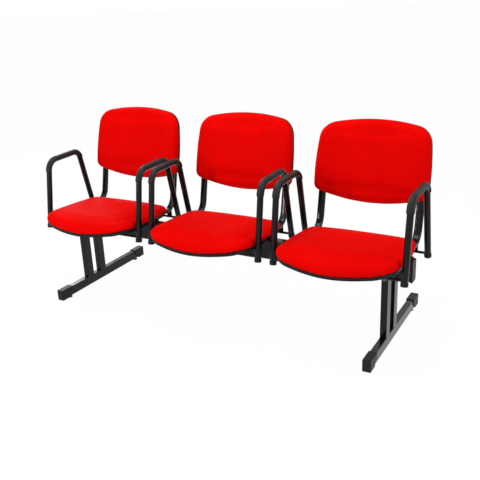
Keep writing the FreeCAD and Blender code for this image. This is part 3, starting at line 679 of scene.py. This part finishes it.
def hex_rings(flats, tall, steps=36):
    """Rings of a hexagon head with its corners turned off."""
    face = flats / 2
    dial = HEX_DIAL * face
    sixth = math.pi / 3
    turns = [2 * math.pi * index / steps for index in range(steps)]
    corners = [face / math.cos((turn + sixth / 2) % sixth - sixth / 2) for turn in turns]
    slope = math.tan(math.radians(HEX_CHAMFER))
    chamfer = [tall - (corner - dial) * slope for corner in corners]
    top = [tall] * steps
    return [circle(corners, [0.0] * steps), circle(corners, chamfer),
            circle([dial] * steps, top), circle([0.5 * dial] * steps, top)]


# Geometry Nodes

def bent_bar_tree():
    """A bar along a polyline with rounded bends and a section of its own, eased at its ends."""
    maker = Maker("bent_bar")
    section = maker.ask("Section", "Object")
    stations = maker.ask("Stations", "Int", 120)
    ease = maker.ask("Ease", "Float", 0.0)
    taper = maker.ask("Taper", "Float", 0.0)
    line = maker.add("GeometryNodeMeshToCurve", None, {"Mesh": maker.seed})
    values = {"Name": "bend"}
    bend = maker.add("GeometryNodeInputNamedAttribute", {"data_type": "FLOAT"}, values)
    values = {"Curve": line, "Count": 24, "Radius": bend, "Limit Radius": True}
    line = maker.add("GeometryNodeFilletCurve", {"mode": "POLY"}, values)
    values = {"Curve": line, "Count": stations}
    line = maker.add("GeometryNodeResampleCurve", {"mode": "COUNT"}, values)
    line = maker.add("GeometryNodeSetCurveNormal", {"mode": "Z_UP"}, {"Curve": line})
    shape = maker.add("GeometryNodeObjectInfo", None, {"Object": section}, "Geometry")
    shape = maker.add("GeometryNodeMeshToCurve", None, {"Mesh": shape})
    along = maker.add("GeometryNodeSplineParameter")
    near = along.least(1.0 - along)
    scale = 1.0 - taper * (1.0 - (near / ease.most(0.0001)).least(1.0)) ** 2.0
    values = {"Curve": line, "Profile Curve": shape, "Scale": scale, "Fill Caps": True}
    return maker.end(maker.add("GeometryNodeCurveToMesh", None, values))


def stamp_tree():
    """One small form, set on every point and turned to its aim."""
    maker = Maker("set_on_points")
    form = maker.ask("Form", "Object")
    stamp = maker.add("GeometryNodeObjectInfo", None, {"Object": form}, "Geometry")
    values = {"Name": "aim"}
    aim = maker.add("GeometryNodeInputNamedAttribute", {"data_type": "FLOAT_VECTOR"}, values)
    turn = maker.add("FunctionNodeAlignRotationToVector", {"axis": "Z"}, {"Vector": aim})
    values = {"Points": maker.seed, "Instance": stamp, "Rotation": turn}
    return maker.end(maker.add("GeometryNodeInstanceOnPoints", None, values))


def grow(name, tree, seed, values):
    """The plain piece that a tree makes from a seed mesh."""
    piece = new_piece(name, seed)
    modifier = piece.modifiers.new("shape", "NODES")
    modifier.node_group = tree
    for item in tree.interface.items_tree:
        if item.item_type == "SOCKET" and item.in_out == "INPUT" and item.name in values:
            modifier[item.identifier] = values[item.name]
    return baked(piece)


def oval(wide, thick):
    """Closed section with round ends: a circle where wide equals thick."""
    steps = 12
    radius, flat = thick / 2, (wide - thick) / 2
    loop = []
    for side, first in ((1, -90), (-1, 90)):
        for index in range(steps + 1):
            turn = math.radians(first + 180 * index / steps)
            loop.append((side * flat + radius * math.cos(turn), radius * math.sin(turn)))
    return loop


def saddle(wide, tall, bore):
    """Section of a pad that wraps a round tube and is open underneath."""
    steps = 28
    turns = [math.radians(PAD_REACH * (2 * index / steps - 1)) for index in range(steps + 1)]
    outer = [(wide / 2 * math.sin(turn), -tall / 2 * math.cos(turn)) for turn in turns]
    inner = [(bore * math.sin(turn * PAD_INNER_SHARE), -bore * math.cos(turn * PAD_INNER_SHARE))
             for turn in reversed(turns)]
    (x, y), (u, v) = outer[-1], inner[0]
    lip = (x + u) / 2 - PAD_LIP[0], (y + v) / 2 + PAD_LIP[1]
    return outer + [lip] + inner + [(-lip[0], lip[1])]


def bar(name, path, bends, loop, slot, ease=0.0, taper=0.0, stations=120):
    """A bent bar: path in row millimetres, bends as radii, loop as its section."""
    edges = [(index, (index + 1) % len(loop)) for index in range(len(loop))]
    mesh = bpy.data.meshes.new(name + "_section")
    mesh.from_pydata([Vector((x, y, 0)) * MM for x, y in loop], edges, [])
    section = new_piece(name + "_section", mesh)
    seed = bpy.data.meshes.new(name)
    edges = [(index, index + 1) for index in range(len(path) - 1)]
    seed.from_pydata([to_frame(*spot) for spot in path], edges, [])
    radii = seed.attributes.new("bend", "FLOAT", "POINT")
    for item, radius in zip(radii.data, (0.0, *bends, 0.0)):
        item.value = radius * MM
    values = {"Section": section, "Ease": ease, "Taper": taper, "Stations": stations,
              "Material": MATERIALS[slot]}
    piece = grow(name, BENT_BAR, seed, values)
    bpy.data.objects.remove(section)
    work = bmesh.new()
    work.from_mesh(piece.data)
    bmesh.ops.remove_doubles(work, verts=work.verts, dist=1e-6)
    bmesh.ops.recalc_face_normals(work, faces=work.faces)
    work.to_mesh(piece.data)
    work.free()
    smooth(piece.data, 40.0)
    return piece


def stamps(name, rings, spots, slot):
    """Copies of one small form at spots of (place in row millimetres, aim)."""
    form = new_piece(name + "_form", ring_mesh(name + "_form", rings))
    smooth(form.data, 30.0)
    seed = bpy.data.meshes.new(name)
    seed.from_pydata([to_frame(*place) for place, aim in spots], [], [])
    aims = seed.attributes.new("aim", "FLOAT_VECTOR", "POINT")
    for item, (place, aim) in zip(aims.data, spots):
        item.vector = aim
    piece = grow(name, SET_ON_POINTS, seed, {"Form": form, "Material": MATERIALS[slot]})
    bpy.data.objects.remove(form)
    return piece


# Cushions

def remeshed(drawn):
    """Even mesh of a cushion that keeps to the drawn surface."""
    piece = new_piece(drawn.name + "_even", drawn.data.copy())
    voxels = piece.modifiers.new("voxels", "REMESH")
    voxels.mode = "VOXEL"
    voxels.voxel_size = VOXEL * MM
    voxels.use_smooth_shade = True
    wrap = piece.modifiers.new("keep_to_surface", "SHRINKWRAP")
    wrap.wrap_method = "NEAREST_SURFACEPOINT"
    wrap.target = drawn
    baked(piece)
    bpy.data.objects.remove(drawn)
    return piece


def evened(mesh, values, fixed):
    """Values on the corners of a mesh, averaged with their neighbours as foam evens out folds."""
    beside = [[] for _ in mesh.vertices]
    for edge in mesh.edges:
        first, last = edge.vertices
        beside[first].append(last)
        beside[last].append(first)
    for _ in range(FOAM_ROUNDS):
        values = [0.0 if still else 0.5 * value + 0.5 * sum(values[n] for n in near) / len(near)
                  for value, near, still in zip(values, beside, fixed)]
    return values


def inflate(piece, held):
    """Cloth under pressure: the cover swells off the foam, but stays put where it is held."""
    start = [vert.co.copy() for vert in piece.data.vertices]
    normals = [vert.normal.copy() for vert in piece.data.vertices]
    fixed = [held(spot) for spot in start]
    group = piece.vertex_groups.new(name="held")
    group.add([index for index, still in enumerate(fixed) if still], 1.0, "REPLACE")
    cloth = piece.modifiers.new("cloth", "CLOTH")
    cloth.settings.quality = 5
    cloth.settings.use_pressure = True
    cloth.settings.uniform_pressure_force = CLOTH_PRESSURE
    cloth.settings.vertex_group_mass = "held"
    cloth.settings.effector_weights.gravity = 0.0
    cloth.point_cache.frame_start = 1
    cloth.point_cache.frame_end = CLOTH_FRAMES
    scene = bpy.context.scene
    for number in range(1, CLOTH_FRAMES + 1):
        scene.frame_set(number)
    ready = piece.evaluated_get(bpy.context.evaluated_depsgraph_get())
    swollen = [vert.co.copy() for vert in ready.data.vertices]
    piece.modifiers.clear()
    piece.vertex_groups.clear()
    swell = []
    for first, last, normal, still in zip(start, swollen, normals, fixed):
        rise = min(max((last - first).dot(normal), 0.0), SWELL * MM)
        swell.append(0.0 if still else rise)
    for vert, normal, rise in zip(piece.data.vertices, normals, evened(piece.data, swell, fixed)):
        vert.co += normal * rise
    scene.frame_set(1)


def subdivided(piece):
    finer = piece.modifiers.new("finer", "SUBSURF")
    finer.levels = 1
    finer.render_levels = 1
    return baked(piece)


def fabric_life(mesh, seed, centre, corners):
    """Small uneven swells of one cushion, and puckers where its cloth is pulled round a corner."""
    offset = Vector([seed * step for step in SEED_STEPS])
    moves = []
    for vert in mesh.vertices:
        spot = vert.co - centre
        swell = sum(noise.noise(spot * scale + offset) * height for scale, height in WAVES)
        pucker = 0.0
        for corner, reach in corners:
            away = (vert.co - corner).length
            if away < reach:
                stretched = Vector([part * scale for part, scale in zip(spot, PUCKER_WAVES)])
                wave = noise.noise(stretched + offset)
                pucker += wave * PUCKER_HEIGHT * (1 - away / reach) ** PUCKER_FADE
        moves.append(vert.normal * (swell + pucker))
    for vert, move in zip(mesh.vertices, moves):
        vert.co += move
    mesh.update()


def seat_place(x, y, lift):
    """Seat outline point at a lift, rolled down in front, in the frame."""
    depth = y + SEAT_FRONT
    return to_frame(*lay(x, depth, lift - roll_fall(depth)))


def back_place(x, y, depth):
    """Back outline point at a depth behind the board's front, bowed in plan, in the frame."""
    return to_frame(*lean(x, depth - x * x / (2 * BACK_BOW), y + BACK_FOOT))


def make_seat_cushions():
    dome = SEAT_DOME - SWELL * DRAWN_LOWER
    rings = pad_rings(outline(SEAT_ARCS), SEAT_SIDE, dome, SEAT_DISH, seat_place)
    pad = remeshed(new_piece("seat_pad", ring_mesh("seat_pad", rings)))

    def held(spot):
        x, y, z = spot / MM
        depth = y - ROW_SHIFT
        return z < rim_height(depth) - roll_fall(depth) + SEAT_TUCK

    inflate(pad, held)
    subdivided(pad)
    for seed, (name, centre) in enumerate(zip(PLACES, PLACE_CENTRES), SEAT_SEED):
        piece = moved_copy(name + "_seat_cloth", pad.data, centre)
        corners = [(to_frame(centre + x, depth, rim_height(depth)), reach * MM)
                   for x, depth, reach in SEAT_CORNERS]
        fabric_life(piece.data, seed, to_frame(centre, 0, RIM_HEIGHT), corners)
        piece.data.shade_smooth()
        dress(piece, "red_fabric", [name + "_seat_cushion"])
    bpy.data.objects.remove(pad)


def make_back_cushions():
    dome = BACK_DOME - SWELL * DRAWN_LOWER
    rings = pad_rings(outline(BACK_ARCS), BACK_SIDE, dome, 0.0,
                      lambda x, y, height: back_place(x, y, -height))
    pad = remeshed(new_piece("back_pad", ring_mesh("back_pad", rings)))

    def held(spot):
        x, y, z = spot / MM
        angle = math.radians(BACK_LEAN)
        rear = (y - ROW_SHIFT - BACK_DEPTH) * math.cos(angle)
        rise = (z - BACK_HEIGHT) * math.sin(angle)
        return rear - rise + x * x / (2 * BACK_BOW) > BACK_TUCK

    inflate(pad, held)
    subdivided(pad)
    for seed, (name, centre) in enumerate(zip(PLACES, PLACE_CENTRES), BACK_SEED):
        piece = moved_copy(name + "_back_cloth", pad.data, centre)
        corners = [(to_frame(*lean(centre + x, BACK_CORNER_DEPTH, height)), reach * MM)
                   for x, height, reach in BACK_CORNERS]
        fabric_life(piece.data, seed, to_frame(centre, BACK_DEPTH, BACK_HEIGHT), corners)
        piece.data.shade_smooth()
        dress(piece, "red_fabric", [name + "_back_cushion"])
    bpy.data.objects.remove(pad)


# Hard pieces of each place

def tube_path(x):
    """Carrier tube at x: back along the seat to the knee, then up into the back."""
    front = rim_height(TUBE_FRONT) + TUBE_LIFT
    knee = rim_height(TUBE_KNEE) + TUBE_LIFT
    top = TUBE_KNEE + (TUBE_TOP - knee) * math.tan(math.radians(BACK_LEAN))
    return (x, TUBE_FRONT, front), (x, TUBE_KNEE, knee), (x, top, TUBE_TOP)


def make_back_covers():
    """Shells behind the backs, with a slot round each tube that enters them."""
    rings = pad_rings(outline(BACK_ARCS), COVER_SIDE, COVER_DOME, 0.0, back_place)
    shell = new_piece("back_shell", ring_mesh("back_shell", rings))
    shell.data.materials.append(MATERIALS["black_plastic"])
    section = oval(TUBE_WIDE + 2 * TUBE_ROOM, TUBE_THICK + 2 * TUBE_ROOM)
    for name, side in SIDES:
        path = tube_path(side * TUBE_X)
        cutter = bar(name + "_slot", path, (TUBE_BEND,), section, "black_plastic")
        cut = shell.modifiers.new("slot", "BOOLEAN")
        cut.operation = "DIFFERENCE"
        cut.solver = "EXACT"
        cut.object = cutter
        baked(shell)
        bpy.data.objects.remove(cutter)
    smooth(shell.data, 38.0)
    for name, centre in zip(PLACES, PLACE_CENTRES):
        piece = moved_copy(name + "_back_shell", shell.data, centre)
        dress(piece, "black_plastic", [name + "_back_cover"])
    bpy.data.objects.remove(shell)


def arm_leg_point(foot, top, height):
    """Where one leg of an armrest passes a height, as (depth, height)."""
    share = (height - foot[1]) / (top[1] - foot[1])
    return foot[0] + share * (top[0] - foot[0]), height


def make_arms(place, centre):
    foot, front_top, rear_top, rear_foot = ARM_PATH
    start = arm_leg_point(foot, front_top, PAD_HEIGHTS[0])
    end = arm_leg_point(rear_foot, rear_top, PAD_HEIGHTS[1])
    round_tube = oval(2 * ARM_TUBE, 2 * ARM_TUBE)
    pad_shape = saddle(PAD_WIDE, PAD_TALL, ARM_TUBE + PAD_ROOM)
    for name, side in SIDES:
        x = centre + side * ARM_X
        path = [(x, y, z) for y, z in ARM_PATH]
        tube = bar(place + "_arm_bow_" + name, path, ARM_BENDS, round_tube, "black_steel",
                   stations=150)
        dress(tube, "black_steel", [place + "_arm_tube_" + name])
        path = [(x, y, z) for y, z in (start, front_top, rear_top, end)]
        pad = bar(place + "_arm_saddle_" + name, path, ARM_BENDS, pad_shape, "soft_black_plastic",
                  ease=PAD_EASE, taper=PAD_TAPER, stations=200)
        dress(pad, "soft_black_plastic", [place + "_arm_pad_" + name])


def make_tubes(place, centre):
    section = oval(TUBE_WIDE, TUBE_THICK)
    for name, side in SIDES:
        path = tube_path(centre + side * TUBE_X)
        tube = bar(place + "_carrier_" + name, path, (TUBE_BEND,), section, "black_steel",
                   stations=140)
        dress(tube, "black_steel", [place + "_back_tube_" + name])


def make_arm_caps():
    """Cups on the lower ends of the armrests, turned along their legs."""
    spots = []
    foot, front_top, rear_top, rear_foot = ARM_PATH
    for centre in PLACE_CENTRES:
        for _, side in SIDES:
            for low, top in ((foot, front_top), (rear_foot, rear_top)):
                aim = Vector((0, top[0] - low[0], top[1] - low[1])).normalized()
                spots.append(((centre + side * ARM_X, *low), aim))
    piece = stamps("arm_end_cups", lathe(END_CUP), spots, "black_plastic")
    dress(piece, "black_plastic", ["arm_end_caps"])


def make_fasteners():
    """Heads of the plate bolts, and heads, nuts and thread ends of the leg bolts."""
    seat = rim_height(SPOT_FACE) + TUBE_LIFT - TUBE_THICK / 2
    up, front, back = Vector((0, 0, 1)), Vector((0, -1, 0)), Vector((0, 1, 0))
    spots = [((centre + x, 0.0, seat), up) for centre in PLACE_CENTRES for x in PLATE_BOLT_XS]
    piece = stamps("plate_bolt_heads", hex_rings(*PLATE_BOLT_HEAD), spots, "black_steel")
    dress(piece, "black_steel", ["plate_bolts"])
    heads = []
    nuts = []
    for _, side in SIDES:
        for rise in (-LEG_BOLT_RISE, LEG_BOLT_RISE):
            heads.append(((side * LEG_X, -POST_FACE, BEAM_MIDDLE + rise), front))
            nuts.append(((side * LEG_X, POST_FACE, BEAM_MIDDLE + rise), back))
    for name, rings, spots in (("leg_bolt_heads", hex_rings(*LEG_BOLT_HEAD), heads),
                               ("leg_bolt_nuts", hex_rings(*LEG_BOLT_NUT), nuts),
                               ("leg_bolt_ends", lathe(LEG_BOLT_END), nuts)):
        piece = stamps(name, rings, spots, "zinc_steel")
        dress(piece, "zinc_steel", ["leg_bolts"])


def make_glides():
    """Levelling feet: each rides on its own body and screws out of the foot tube."""
    for name, side in SIDES:
        for end, depth in GLIDE_DEPTHS:
            node = name + "_" + end + "_glide"
            spots = [((side * LEG_X, depth, 0.0), Vector((0, 0, 1)))]
            piece = stamps(node + "_foot", lathe(GLIDE_PROFILE, 48), spots, "glide_plastic")
            dress(piece, "glide_plastic", [node], body=node)


def make_refined():
    """Steel and plastic whose CAD shape is right, with merged corners and broken edges."""
    for node, slot in SLOTS.items():
        kind = node.split("_", 1)[1] if node.startswith(PLACES) else node
        if kind in BROKEN_EDGES:
            dress(refined(node, BROKEN_EDGES[kind]), slot, [node])


def dress_cad():
    """Gives every CAD piece the finish of its slot."""
    for name, piece in frame["nodes"].items():
        piece.data.materials.clear()
        piece.data.materials.append(MATERIALS[SLOTS[name]])


make_camera()
make_floor()
make_world()
for lamp in LAMPS:
    make_lamp(*lamp)

MATERIALS = {
    "red_fabric": red_cloth(),
    "plywood": bare_plywood(),
    "black_plastic": black_moulded_plastic(),
    "soft_black_plastic": soft_black_skin(),
    "black_steel": black_powder_coat(),
    "zinc_steel": zinc_steel(),
    "glide_plastic": hard_glide_plastic(),
}
BENT_BAR = bent_bar_tree()
SET_ON_POINTS = stamp_tree()

dress_cad()
make_seat_cushions()
make_back_cushions()
make_back_covers()
for place, centre in zip(PLACES, PLACE_CENTRES):
    make_arms(place, centre)
    make_tubes(place, centre)
make_arm_caps()
make_fasteners()
make_glides()
make_refined()

bpy.context.scene.view_settings.view_transform = "Standard"
